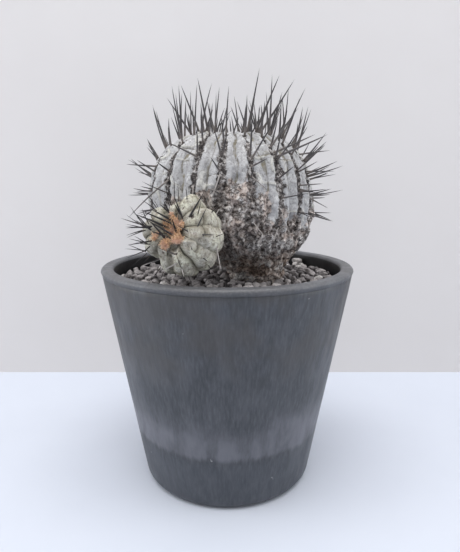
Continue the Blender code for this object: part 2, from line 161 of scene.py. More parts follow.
class Finish:
    """Builds one procedural Principled material, coat by coat."""

    def __init__(self, name, roughness=0.8, specular=0.4):
        self.material = bpy.data.materials.new(name)
        self.material.use_nodes = True
        self.tree = self.material.node_tree
        self.shader = self.tree.nodes["Principled BSDF"]
        self.shader.inputs["Roughness"].default_value = roughness
        self.shader.inputs["Specular IOR Level"].default_value = specular
        self.place = self.node("ShaderNodeTexCoord", {}, "Object")
        self.colour = None
        self.normal = None

    def node(self, kind, inputs, output=0, **settings):
        return add_node(self.tree, kind, inputs, output, **settings)

    def stretched(self, x, y, z):
        return self.node("ShaderNodeMapping", {"Vector": self.place, "Scale": (x, y, z)})

    def noise(self, size, detail=3.0, roughness=0.55, place=None, output="Fac"):
        inputs = {"Vector": place or self.place, "Scale": 1 / size, "Detail": detail, "Roughness": roughness}
        return self.node("ShaderNodeTexNoise", inputs, output)

    def cells(self, size, feature="F1", place=None):
        inputs = {"Vector": place or self.place, "Scale": 1 / size}
        return self.node("ShaderNodeTexVoronoi", inputs, "Distance", feature=feature)

    def warped(self, size, reach):
        """The place, pushed about by up to `reach`, so that cells lose their straight edges."""
        wobble = self.noise(size, 2.0, 0.5, output="Color")
        inputs = {0: wobble, 1: (2 * reach, 2 * reach, 2 * reach), 2: self.place}
        return self.node("ShaderNodeVectorMath", inputs, operation="MULTIPLY_ADD")

    def value(self, name):
        return self.node("ShaderNodeAttribute", {}, "Fac", attribute_name=name)

    def height(self):
        return self.node("ShaderNodeSeparateXYZ", {0: self.place}, "Z")

    def math(self, operation, first, second=0.0):
        return self.node("ShaderNodeMath", {0: first, 1: second}, operation=operation)

    def plus(self, first, second):
        return self.math("ADD", first, second)

    def minus(self, first, second):
        return self.math("SUBTRACT", first, second)

    def times(self, first, second):
        return self.math("MULTIPLY", first, second)

    def apart(self, first, second):
        return self.math("ABSOLUTE", self.minus(first, second))

    def between(self, value, low, high, to_low=0.0, to_high=1.0):
        """Maps low..high smoothly to to_low..to_high, and holds the ends."""
        keys = ("Value", "From Min", "From Max", "To Min", "To Max")
        inputs = dict(zip(keys, (value, low, high, to_low, to_high)))
        return self.node("ShaderNodeMapRange", inputs, "Result", interpolation_type="SMOOTHSTEP")

    def ramp(self, value, *stops):
        """Colours by value. Each stop is (value, colour)."""
        node = self.tree.nodes.new("ShaderNodeValToRGB")
        self.tree.links.new(value, node.inputs["Fac"])
        while len(node.color_ramp.elements) < len(stops):
            node.color_ramp.elements.new(0.5)
        for element, (place, colour) in zip(node.color_ramp.elements, stops):
            element.position = place
            element.color = solid(colour)
        return node.outputs["Color"]

    def mix(self, share, first, second):
        inputs = {"Factor": share, 6: solid(first), 7: solid(second)}
        return self.node("ShaderNodeMix", inputs, 2, data_type="RGBA")

    def coat(self, share, colour):
        """Lays a colour over the coats before it, as thick as the share."""
        self.colour = self.mix(share, self.colour, colour)

    def bump(self, height, distance, strength=1.0):
        inputs = {"Height": height, "Distance": distance, "Strength": strength}
        if self.normal is not None:
            inputs["Normal"] = self.normal
        self.normal = self.node("ShaderNodeBump", inputs, "Normal")

    def done(self, roughness=None):
        for key, value in (("Base Color", self.colour), ("Roughness", roughness), ("Normal", self.normal)):
            if value is not None:
                self.tree.links.new(value, self.shader.inputs[key])
        return self.material


# ---------------------------------------------------------------- finishes


def pot_finish():
    """Matte slate plastic with fine upright brush marks, dust and an old water line, a painted highlight on
    the lip's top, and painted shade that makes the inside near-black.
    """
    made = Finish("pot_finish", specular=0.5)
    streak = made.noise(1.2 * MM, 4, 0.62, made.stretched(1, 1, 0.05))
    patch = made.noise(9 * MM, 4, 0.6, made.stretched(1, 1, 0.3))
    cloud = made.noise(34 * MM, 4, 0.6)
    speck = made.noise(1.2 * MM, 2, 0.6)
    height = made.height()
    shift = made.plus(made.times(cloud, 34 * MM), made.times(patch, 9 * MM))
    upper = made.minus(made.plus(height, shift), 21 * MM)
    ragged = made.plus(height, made.times(patch, 7 * MM))
    fresh = ((0.3, (0.031, 0.035, 0.043)), (0.5, (0.047, 0.052, 0.062)), (0.72, (0.074, 0.081, 0.095)))
    made.colour = made.ramp(streak, *fresh)
    made.coat(made.between(patch, 0.42, 0.7, 0.0, 0.35), (0.1, 0.106, 0.123))
    above, below = made.between(ragged, 36.5 * MM, 41 * MM), made.between(upper, 46 * MM, 64 * MM, 1.0, 0.0)
    chalk = made.times(above, below)
    made.coat(made.times(chalk, made.between(patch, 0.25, 0.6, 0.3, 0.75)), (0.15, 0.153, 0.178))
    chips = made.cells(17 * MM, "F1", made.warped(5 * MM, 4 * MM))
    made.coat(made.between(chips, 0.02, 0.05, 0.75, 0.0), (0.32, 0.32, 0.33))
    made.coat(made.between(ragged, 30 * MM, 39 * MM, 0.32, 0.0), (0.05, 0.058, 0.075))
    brown = made.times(made.between(upper, 74 * MM, 104 * MM), made.between(cloud, 0.36, 0.6))
    made.coat(made.times(brown, 0.6), (0.06, 0.056, 0.055))
    # The lip's top is painted a lighter speckled grey: a painted highlight where the light from above falls on
    # it.
    rim = made.between(height, 132.0 * MM, 135.5 * MM)
    made.coat(made.times(rim, made.between(speck, 0.4, 0.7, 0.3, 0.6)), (0.17, 0.172, 0.182))
    # Painted shade: the pot's inside is painted near-black.
    made.coat(made.times(made.value("inside"), 0.94), (0.012, 0.012, 0.013))
    made.bump(streak, 0.1 * MM, 0.35)
    made.bump(speck, 0.06 * MM, 0.35)
    return made.done(made.between(patch, 0.3, 0.7, 0.53, 0.4))


def gravel_finish():
    """Lava stones, each of its own grey, with pores; the lower layer's stones are painted darker as shade."""
    made = Finish("gravel_finish", roughness=0.92, specular=0.25)
    dark = ((0.0, (0.045, 0.04, 0.041)), (0.3, (0.15, 0.14, 0.142)), (0.6, (0.3, 0.28, 0.28)))
    made.colour = made.ramp(made.value("tone_and_shade"), *dark, (0.85, (0.47, 0.44, 0.435)), (1.0, (0.66, 0.64, 0.62)))
    grain = made.noise(0.9 * MM, 3, 0.65)
    pores = made.cells(1.0 * MM)
    made.coat(made.between(grain, 0.4, 0.7, 0.0, 0.4), (0.36, 0.335, 0.33))
    made.coat(made.between(pores, 0.12, 0.34, 0.65, 0.0), (0.035, 0.03, 0.03))
    made.bump(grain, 0.5 * MM, 0.9)
    made.bump(pores, 0.35 * MM, 0.6)
    return made.done()


def chalk_skin(name, pale, grey, cream):
    """The waxy chalk between a stem's areole bands, before its marks are added."""
    made = Finish(name, roughness=0.86, specular=0.22)
    coarse = made.noise(7 * MM, 4, 0.6)
    fine = made.noise(1.2 * MM, 3, 0.65)
    made.colour = made.ramp(coarse, (0.3, grey), (0.52, pale), (0.75, cream))
    made.coat(made.between(fine, 0.38, 0.66, 0.5, 0.0), grey)
    return made, coarse, fine


def coat_creases(made, coarse, ragged):
    """Raised cream wrinkles with painted shade round their feet, creases down and across the plates with
    painted shade along them, fine crazing and freckles.
    """
    crease_shade_olive = made.mix(made.between(coarse, 0.4, 0.6), (0.2, 0.175, 0.11), (0.1, 0.088, 0.078))
    made.coat(made.times(made.value("fold"), 0.6), (0.68, 0.66, 0.58))
    # A darker line painted round the foot of each raised wrinkle: painted shade.
    beside_fold = made.apart(made.value("fold"), 0.22)
    made.coat(made.between(beside_fold, 0.0, 0.12, 0.5, 0.0), (0.2, 0.185, 0.15))
    # Painted shade: a dark olive line along each crease.
    crease = made.plus(made.value("crease"), made.times(ragged, 0.9 * MM))
    made.coat(made.between(crease, 0.05 * MM, 0.48 * MM, 0.9, 0.0), crease_shade_olive)
    craze = made.cells(5.5 * MM, "DISTANCE_TO_EDGE", made.warped(3 * MM, 1.2 * MM))
    made.coat(made.between(craze, 0.0, 0.04, 0.3, 0.0), (0.17, 0.15, 0.13))
    made.coat(made.between(made.noise(1.4 * MM, 3, 0.7), 0.55, 0.64, 0.0, 0.6), (0.17, 0.16, 0.155))


def coat_bark(made, mottle, split):
    """Corky bark: pale flakes over brown crumbs, with winding dark cracks. Returns where it lies."""
    pink = made.between(made.noise(8 * MM, 3), 0.47, 0.58, 0.0, 0.6)
    flake = ((0.34, (0.13, 0.112, 0.102)), (0.47, (0.5, 0.47, 0.45)), (0.64, (0.9, 0.88, 0.86)))
    crumb = ((0.35, (0.03, 0.024, 0.02)), (0.46, (0.22, 0.182, 0.16)), (0.64, (0.62, 0.56, 0.52)))
    neck = ((0.35, (0.05, 0.034, 0.026)), (0.46, (0.32, 0.235, 0.185)), (0.65, (0.8, 0.66, 0.57)))
    flake, crumb, neck = (made.ramp(mottle, *stops) for stops in (flake, crumb, neck))
    flake = made.mix(pink, flake, (0.46, 0.36, 0.31))
    crumb = made.mix(made.times(made.value("neck"), 0.85), crumb, neck)
    bark = made.mix(made.between(made.value("scab"), 0.25, 0.75), crumb, flake)
    bark = made.mix(made.between(split, 0.0, 0.035, 0.9, 0.0), bark, (0.025, 0.02, 0.018))
    patches = made.times(made.minus(made.noise(8 * MM, 5, 0.62), 0.5), 1.8)
    worn = made.between(made.plus(made.value("age"), patches), 0.5, 0.6)
    made.coat(worn, bark)
    return worn


def main_skin_finish():
    """Grey-white chalk with ragged felt bands, hairline creases with painted shade, and corky bark lower down.
    """
    pale, grey, cream = (0.52, 0.52, 0.528), (0.3, 0.297, 0.302), (0.74, 0.74, 0.735)
    made, coarse, fine = chalk_skin("main_skin_finish", pale, grey, cream)
    mottle = made.noise(2.3 * MM, 5, 0.72)
    ragged = made.minus(made.noise(4.2 * MM, 6, 0.72), 0.5)
    split = made.apart(made.noise(5 * MM, 5, 0.68), 0.5)
    coat_creases(made, coarse, ragged)
    worn = coat_bark(made, mottle, split)
    edge = made.plus(made.value("felt"), made.times(ragged, 7.5 * MM))
    felt = made.times(made.between(edge, -0.25 * MM, 0.3 * MM), made.between(worn, 0.0, 1.0, 1.0, 0.5))
    dark = ((0.38, (0.018, 0.016, 0.017)), (0.48, (0.065, 0.057, 0.055)), (0.55, (0.17, 0.155, 0.148)))
    made.coat(felt, made.ramp(mottle, *dark, (0.62, (0.5, 0.48, 0.465))))
    made.bump(fine, 0.22 * MM, 0.6)
    made.bump(mottle, 0.9 * MM, 0.7)
    made.bump(made.times(worn, made.between(split, 0.0, 0.05)), 0.7 * MM, 0.8)
    return made.done()


def offset_skin_finish():
    """Thin grey chalk over pale green, with painted shade along its creases and brown scars low down."""
    pale, grey, cream = (0.54, 0.522, 0.462), (0.28, 0.265, 0.222), (0.82, 0.805, 0.75)
    made, _, fine = chalk_skin("offset_skin_finish", pale, grey, cream)
    mottle = made.noise(1.8 * MM, 4, 0.7)
    ragged = made.minus(made.noise(2.4 * MM, 4, 0.7), 0.5)
    made.coat(made.between(made.noise(7 * MM, 3), 0.48, 0.62, 0.0, 0.5), (0.58, 0.58, 0.43))
    made.coat(made.times(made.value("fold"), 0.55), (0.6, 0.58, 0.53))
    crease = made.plus(made.value("crease"), made.times(ragged, 0.4 * MM))
    # Painted shade: a wide darkening on both sides of each crease, and a dark line along it.
    made.coat(made.between(crease, 0.3 * MM, 3.0 * MM, 0.62, 0.0), (0.17, 0.155, 0.11))
    made.coat(made.between(crease, 0.05 * MM, 0.45 * MM, 0.92, 0.0), (0.05, 0.045, 0.033))
    made.coat(made.between(made.noise(3 * MM, 5, 0.72), 0.5, 0.6, 0.0, 0.62), (0.2, 0.172, 0.132))
    made.coat(made.between(made.noise(1.3 * MM, 4, 0.75), 0.54, 0.62, 0.0, 0.7), (0.13, 0.11, 0.09))
    patches = made.times(made.minus(made.noise(4 * MM, 4, 0.65), 0.5), 1.6)
    worn = made.between(made.plus(made.value("age"), patches), 0.5, 0.62)
    cork = ((0.35, (0.035, 0.03, 0.026)), (0.5, (0.16, 0.135, 0.118)), (0.68, (0.4, 0.365, 0.33)))
    made.coat(worn, made.ramp(mottle, *cork))
    made.bump(fine, 0.25 * MM, 0.7)
    made.bump(mottle, 0.9 * MM, 0.7)
    return made.done()


def felt_finish(name, dark, middle, pale, tint):
    """Dense areole wool, with some tufts of another tint."""
    made = Finish(name, roughness=0.95, specular=0.15)
    tuft = made.noise(0.9 * MM, 4, 0.75)
    made.colour = made.ramp(tuft, (0.36, dark), (0.48, middle), (0.62, pale))
    made.coat(made.between(made.noise(5 * MM, 2), 0.45, 0.58, 0.0, 0.7), tint)
    made.shader.inputs["Sheen Weight"].default_value = 0.25
    made.bump(tuft, 0.5 * MM, 0.8)
    return made.done()


def spine_finish(name, root, middle, tip):
    """Horny spines. `reach` runs from 0 at the foot to 1 at the tip, and `bleach` is 1 on old pale spines."""
    made = Finish(name, roughness=0.55, specular=0.35)
    uneven = made.times(made.minus(made.noise(2.5 * MM), 0.5), 0.3)
    made.colour = made.ramp(made.plus(made.value("reach"), uneven), (0.02, root), (0.3, middle), (0.95, tip))
    made.coat(made.value("bleach"), made.mix(made.noise(1.5 * MM), (0.25, 0.23, 0.215), (0.48, 0.45, 0.43)))
    made.bump(made.noise(0.7 * MM, 2), 0.1 * MM, 0.5)
    return made.done()


def mix_finish():
    """Dark crumbly potting mix."""
    made = Finish("mix_finish", roughness=0.95, specular=0.2)
    soil = ((0.3, (0.015, 0.01, 0.008)), (0.55, (0.06, 0.042, 0.03)), (0.8, (0.17, 0.14, 0.11)))
    made.colour = made.ramp(made.noise(1.8 * MM, 4, 0.7), *soil)
    made.bump(made.cells(2.2 * MM), 1.0 * MM, 0.8)
    return made.done()


def plain_finish(name, roughness, specular, size, dark, pale):
    """Two close shades in soft clouds about `size` across."""
    made = Finish(name, roughness, specular)
    made.colour = made.ramp(made.noise(size), (0.3, dark), (0.7, pale))
    return made


def net_finish():
    made = plain_finish("net_finish", 0.45, 0.4, 6 * MM, (0.012, 0.012, 0.012), (0.03, 0.03, 0.03))
    made.bump(made.noise(0.8 * MM, 2), 0.05 * MM, 0.4)
    return made.done()


def floor_finish():
    return plain_finish("floor_finish", 0.7, 0.3, 120 * MM, (0.565, 0.6, 0.675), (0.59, 0.625, 0.7)).done()


# ---------------------------------------------------------------- the stems' shared shape

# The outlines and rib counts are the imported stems' own: (radius, height, centre x, centre y) in millimetres.
STEM_OUTLINE = [
    (0.0, 96.0, 18.0, -8.0), (5.0, 98.5, 18.0, -8.0), (9.0, 108.0, 18.0, -8.0), (13.5, 120.0, 18.0, -8.0),
    (16.8, 130.0, 18.0, -8.0), (19.0, 136.5, 17.0, -7.6), (27.0, 141.8, 11.5, -6.0), (36.8, 147.6, 6.5, -4.4),
    (43.2, 153.6, 4.0, -3.5), (46.9, 161.0, 3.0, -3.1), (48.6, 170.0, 2.5, -3.0), (48.8, 179.0, 2.4, -3.0),
    (48.0, 189.0, 2.4, -3.0), (45.6, 198.0, 2.4, -3.0), (41.0, 204.6, 2.4, -3.0), (35.2, 209.6, 2.4, -3.0),
    (28.0, 213.0, 2.4, -3.0), (20.5, 214.6, 2.4, -3.0), (14.0, 212.6, 2.4, -3.0), (8.0, 210.0, 2.4, -3.0),
    (0.0, 209.4, 2.4, -3.0),
]
OFFSET_OUTLINE = [
    (0.0, -20.0, 0.0, 0.0), (8.0, -19.0, 0.0, 0.0), (14.0, -13.5, 0.0, 0.0), (18.6, -7.0, 0.0, 0.0),
    (20.7, 0.0, 0.0, 0.0), (19.9, 6.0, 0.0, 0.0), (16.6, 11.2, 0.0, 0.0), (11.6, 14.2, 0.0, 0.0),
    (7.0, 14.2, 0.0, 0.0), (3.5, 12.6, 0.0, 0.0), (0.0, 12.2, 0.0, 0.0),
]
# One number for each rib: how far it stands from even spacing, in degrees.
STEM_RIB_SHIFTS = (1.1, 1.3, 1.2, 0.6, -0.6, -1.2, 0.5, 1.4, 0.3, -1.0)
STEM_RIB_SHIFTS += (-0.4, 1.2, 0.8, -0.9, -0.2, -2.2, -4.0, -0.8, 2.3)
OFFSET_RIB_SHIFTS = (0.0, 4.0, 1.0, -2.0, -3.0, -4.0, 0.0, 2.0, 4.0, 1.0)
CROWN_FADE = 20 * MM
STEM_STEPS = np.linspace(0, 1, 401)
OFFSET_CENTRE = Vector((-22.8, -54.0, 158.8)) * MM
OFFSET_AXIS = Vector((-0.27, -0.89, 0.35)).normalized()


def offset_matrix():
    across = (Vector((1, 0, 0)) - OFFSET_AXIS * OFFSET_AXIS.x).normalized()
    up = OFFSET_AXIS.cross(across)
    return Matrix.Translation(OFFSET_CENTRE) @ Matrix((across, up, OFFSET_AXIS)).transposed().to_4x4()


class Stem:
    """A ribbed stem whose surface is a function of u, root 0 to crown 1, and of the angle round it."""

    def __init__(self, outline, first_rib, shifts, furrow, rib_heights, wander, matrix):
        self.outline = np.array(outline) * MM
        self.ribs = len(shifts)
        self.first_rib = math.radians(first_rib)
        self.shifts = np.radians(shifts)
        self.furrow = furrow
        self.rib_heights = rib_heights
        self.wander = wander
        self.turn = np.array(matrix.to_3x3())
        self.move = np.array(matrix.translation)
        fine = self.rings(STEM_STEPS)
        steps = np.hypot(np.diff(fine[:, 0]), np.diff(fine[:, 1]))
        self.arc = np.concatenate([np.cumsum(steps[::-1])[::-1], [0.0]])

    def rings(self, u):
        last = len(self.outline) - 1
        place = np.clip(u, 0, 1) * last
        k = np.minimum(place.astype(int), last - 1)
        t = (place - k)[:, None]
        p0, p1 = self.outline[np.maximum(k - 1, 0)], self.outline[k]
        p2, p3 = self.outline[k + 1], self.outline[np.minimum(k + 2, last)]
        ring = 2 * p1 + (p2 - p0) * t + (2 * p0 - 5 * p1 + 4 * p2 - p3) * t**2
        ring += (3 * p1 - p0 - 3 * p2 + p3) * t**3
        return ring * 0.5

    def along(self, u):
        """Distance from the crown's middle down the skin."""
        return np.interp(u, STEM_STEPS, self.arc)

    def u_at(self, distance):
        return float(np.interp(-distance, -self.arc, STEM_STEPS))

    def angle(self, rib, u):
        """The angle of a rib's crest, or of any place between ribs, with the ribs' slight wander."""
        rib = np.asarray(rib, dtype=float)
        shift = np.interp(rib % self.ribs, np.arange(self.ribs + 1), np.append(self.shifts, self.shifts[0]))
        plain = self.first_rib + 2 * math.pi * rib / self.ribs + shift
        return plain + self.wander * (np.sin(3 * plain + 7 * u) + 0.6 * np.sin(5 * plain - 11 * u))

    def local(self, u, rib):
        """Points, and distances from the crest (0 to 1) and round the ring, before any fine relief."""
        ring = self.rings(u)
        angle = self.angle(rib, u)
        crest = np.abs(rib - np.round(rib)) * 2
        full = smoothstep(self.rib_heights[0], self.rib_heights[1], ring[:, 1])
        radius = np.maximum(ring[:, 0], 0)
        depth = self.furrow * full * np.minimum(1, radius / CROWN_FADE)
        radius = radius - depth * crest**2.6
        x, y = ring[:, 2] + radius * np.cos(angle), ring[:, 3] + radius * np.sin(angle)
        return np.stack([x, y, ring[:, 1]], axis=1), crest, radius

    def world(self, points):
        return points @ self.turn.T + self.move

    def frame(self, u, rib):
        """(point, outward, up the rib, across) at one place, as vectors in the row frame."""
        du, dr = 0.004, 0.02
        us = np.array([u, u + du, u - du, u, u])
        ribs = np.array([rib, rib, rib, rib + dr, rib - dr], dtype=float)
        p = self.world(self.local(us, ribs)[0])
        up = Vector(p[1] - p[2]).normalized()
        across = Vector(p[3] - p[4]).normalized()
        return Vector(p[0]), across.cross(up).normalized(), up, across


MAIN_RISE, OFFSET_RISE = (136 * MM, 153 * MM), (-18 * MM, -6 * MM)
MAIN = Stem(
    STEM_OUTLINE, -97.3, STEM_RIB_SHIFTS, 2.4 * MM, MAIN_RISE, math.radians(0.9), Matrix.Identity(4)
)
OFFSET = Stem(
    OFFSET_OUTLINE, -11.0, OFFSET_RIB_SHIFTS, 3.0 * MM, OFFSET_RISE, math.radians(1.5), offset_matrix()
)


def stem_piece(name, stem, rows, per_rib, u_low, relief, finish):
    """A closed skin over the stem, pushed out along its normals by what `relief` returns for each point."""
    columns = stem.ribs * per_rib
    u = np.repeat(np.linspace(u_low, 0.995, rows), columns)
    rib = np.tile(np.arange(columns) / per_rib, rows)
    local, crest, radius = stem.local(u, rib)
    points = stem.world(local)
    sheet = points.reshape(rows, columns, 3)
    down = np.gradient(sheet, axis=0)
    round_ = np.roll(sheet, -1, axis=1) - np.roll(sheet, 1, axis=1)
    normal = np.cross(round_, down).reshape(-1, 3)
    normal /= np.linalg.norm(normal, axis=1)[:, None] + 1e-12
    half = math.pi / stem.ribs * np.maximum(radius, 1e-6)
    place = {
        "u": u,
        "rib": rib,
        "crest": crest,
        "lateral": crest * half,
        "from_furrow": (rib - np.floor(rib) - 0.5) * 2 * half,
        "along": stem.along(u),
        "height": local[:, 2],
        "points": points,
    }
    push, values = relief(place)
    points = points + normal * push[:, None]
    ends = [points[:columns].mean(axis=0), points[-columns:].mean(axis=0)]
    faces = closed_faces(rows, columns)
    for key, numbers in values.items():
        values[key] = np.append(numbers, [numbers[:columns].mean(), numbers[-columns:].mean()])
    return new_piece(name, np.vstack([points, ends]), faces, finish, values)


# How far the areoles of a main rib lie below its first, in millimetres.
AREOLE_STEPS = (0, 7, 15, 24, 33.5, 43.5, 54, 64.5)


def areoles(rib):
    """Distances from the crown of one main rib's areoles."""
    chance = random.Random(700 + rib)
    start = 16.5 + chance.uniform(-2.0, 2.0)
    return [(start + below + chance.uniform(-0.8, 0.8)) * MM for below in AREOLE_STEPS]


def cross_creases(place, chance, ribs, low, high, count):
    """Distance to a few short creases that run across the plates between the ribs."""
    plate = np.floor(place["rib"]).astype(int)
    nearest = np.full(len(plate), 1.0)
    bend = 1.3 * MM * value_noise(place["points"], 4 * MM, 61)
    for k in range(ribs):
        here = plate == k
        for _ in range(count):
            at, slope = chance.uniform(low, high), chance.uniform(-0.35, 0.35)
            side = chance.choice((-1, 1, 1, -1, 0))
            away = place["along"][here] - at - slope * place["from_furrow"][here] + bend[here]
            miss = np.maximum(0, -side * place["from_furrow"][here])
            nearest[here] = np.minimum(nearest[here], np.hypot(away, miss))
    return nearest


def wrinkle(points, size, width, seed):
    """1 on winding lines about `width` wide, spaced about `size` apart, and 0 away from them."""
    shown = smoothstep(-0.1, 0.35, value_noise(points, 1.7 * size, seed + 1))
    return bell(value_noise(points, size, seed), width) * shown


# Half the felt band's width, and the distance from the crown that it has there, in millimetres.
FELT_HALF_WIDTHS = (-0.3, 1.4, 2.2, 2.5, 2.8)
FELT_DISTANCES = (30, 40, 52, 70, 88)


def felt_bands(place):
    """Half the felt band's width, how far each point lies inside the felt, and 1 at each areole."""
    points, along, lateral = place["points"], place["along"], place["lateral"]
    band = np.interp(along, np.array(FELT_DISTANCES) * MM, np.array(FELT_HALF_WIDTHS) * MM)
    band = band * (0.95 + 0.6 * value_noise(points, 9 * MM, 3)) + 0.6 * MM * value_noise(points, 3 * MM, 4)
    pads = np.full(len(along), -9 * MM)
    beat = np.zeros(len(along))
    nearest_rib = np.round(place["rib"]).astype(int) % MAIN.ribs
    for rib in range(MAIN.ribs):
        here = nearest_rib == rib
        for distance in areoles(rib):
            away = along[here] - distance
            pads[here] = np.maximum(pads[here], 1.5 * MM - np.hypot(away * 0.75, lateral[here]))
            beat[here] += bell(away, 2.6 * MM)
    return band, np.maximum(band - lateral, pads), beat


def main_age(place):
    """0 on young skin and 1 on corky bark, which climbs higher at the front and on the ribs' crests."""
    points, height = place["points"], place["height"]
    front = bell(np.degrees(np.arctan2(points[:, 1], points[:, 0] - 4 * MM)) + 86, 24)
    age = smoothstep(192 * MM, 146 * MM, height + 13 * MM * value_noise(points, 13 * MM, 5) - 14 * MM * front)
    return age + 0.12 * bell(place["lateral"], 4 * MM) * smoothstep(190 * MM, 172 * MM, height)


def bark_lumps(points):
    """The bark's flakes, chips and roughness, and the share of flake over crumb."""
    scab = smoothstep(-0.1, 0.1, rough_noise(points, 9 * MM, 21)) - 0.5
    chip = smoothstep(-0.1, 0.1, rough_noise(points, 4.5 * MM, 27)) - 0.5
    lumps = 1.3 * scab + 0.9 * chip + 1.2 * rough_noise(points, 6 * MM, 23)
    return lumps + 0.4 * value_noise(points, 1.9 * MM, 25), 0.5 + 0.5 * scab + 0.5 * chip


def main_relief(place):
    """How far the main stem's skin is pushed out, and the values that its finish reads."""
    points, height, lateral = place["points"], place["height"], place["lateral"]
    band, felt_reach, beat = felt_bands(place)
    felt = smoothstep(-0.3 * MM, 0.5 * MM, felt_reach)
    ribbed = smoothstep(140 * MM, 154 * MM, height)
    wander = 1.5 * MM * value_noise(points, 11 * MM, 6) + 0.5 * MM * value_noise(points, 4 * MM, 7)
    crease = np.abs(place["from_furrow"] + wander)
    crease = np.minimum(crease, cross_creases(place, random.Random(81), MAIN.ribs, 40 * MM, 92 * MM, 2))
    fold = wrinkle(points, 7 * MM, 0.1, 71) * (1 - felt) * ribbed
    shoulder = bell(lateral - np.maximum(band, 0) - 1.6 * MM, 1.3 * MM)
    push = ribbed * (0.5 * shoulder - 0.6 * felt - 0.45 * bell(crease, 0.5 * MM) + 0.8 * fold)
    push += ribbed * 0.7 * beat * bell(lateral, 5 * MM) * smoothstep(200 * MM, 211 * MM, height)
    push += 0.9 * value_noise(points, 24 * MM, 8) + 0.7 * rough_noise(points, 9 * MM, 11)
    push += 0.1 * value_noise(points, 1.6 * MM, 9) - 1.3 * smoothstep(175 * MM, 208 * MM, height)
    push += felt * 0.5 * value_noise(points, 1.4 * MM, 12)
    age = main_age(place)
    lumps, flaked = bark_lumps(points)
    push += np.clip(age, 0, 1) * lumps
    neck = smoothstep(152 * MM, 139 * MM, height)
    push += neck * (2.6 * rough_noise(points, 8 * MM, 31) + 1.2 * value_noise(points, 2.4 * MM, 35))
    felt_reach = np.where(ribbed > 0.4, felt_reach, -3 * MM)
    scab = flaked - 0.25 * smoothstep(3 * MM, 0, lateral) * ribbed
    values = {"crease": crease, "age": age, "felt": felt_reach, "neck": neck, "fold": fold, "scab": scab}
    return push * MM, values


# How far each of the offset's lobes stands out, in millimetres; the third, at the top, is the pointed one.
OFFSET_LOBES = (1.4, 1.6, 3.4, -0.6, 0.4, -0.4, 0.3, 0.8, 0.2, 1.2)


def offset_swell(points):
    """The offset is pressed in at its upper left and lower left, and swells to the right."""
    turn = np.degrees(np.arctan2(points[:, 2] - OFFSET_CENTRE.z, points[:, 0] - OFFSET_CENTRE.x)) % 360
    from_right = (turn + 180) % 360 - 180
    return 1.7 * bell(from_right, 34) - 2.6 * bell(turn - 112, 20) - 3.2 * bell(turn - 222, 24)


def offset_relief(place):
    """How far the offset's skin is pushed out, and the values that its finish reads."""
    points, along, lateral = place["points"], place["along"], place["lateral"]
    lobe = np.array(OFFSET_LOBES)[np.round(place["rib"]).astype(int) % OFFSET.ribs]
    opened = smoothstep(4 * MM, 10 * MM, along)
    wander = 0.9 * MM * value_noise(points, 7 * MM, 46)
    crease = np.abs(place["from_furrow"] + wander) + 0.8 * MM * smoothstep(24 * MM, 32 * MM, along)
    crease = np.minimum(crease, cross_creases(place, random.Random(82), OFFSET.ribs, 15 * MM, 30 * MM, 1))
    knob = np.hypot(along - 12.5 * MM, lateral)
    fold = wrinkle(points, 6 * MM, 0.12, 73) * opened
    push = opened * (0.4 * place["crest"] ** 2.6 - 0.7 * bell(crease, 0.5 * MM) + 1.1 * bell(knob, 4 * MM))
    push += lobe * bell(along - 19.5 * MM, 5.5 * MM) * bell(lateral, 3.8 * MM) - 0.8 * bell(knob, 1.3 * MM)
    push += offset_swell(points) + 0.45 * fold + 0.5 * rough_noise(points, 4 * MM, 47)
    push += 0.9 * value_noise(points, 12 * MM, 41) + 0.1 * value_noise(points, 1.4 * MM, 42)
    age = smoothstep(27 * MM, 46 * MM, along + 5 * MM * value_noise(points, 8 * MM, 44))
    push += age * rough_noise(points, 4 * MM, 45)
    values = {"crease": crease, "age": age + 0.75 * bell(knob, 1.1 * MM), "fold": fold}
    return push * MM, values


# ---------------------------------------------------------------- spines and wool


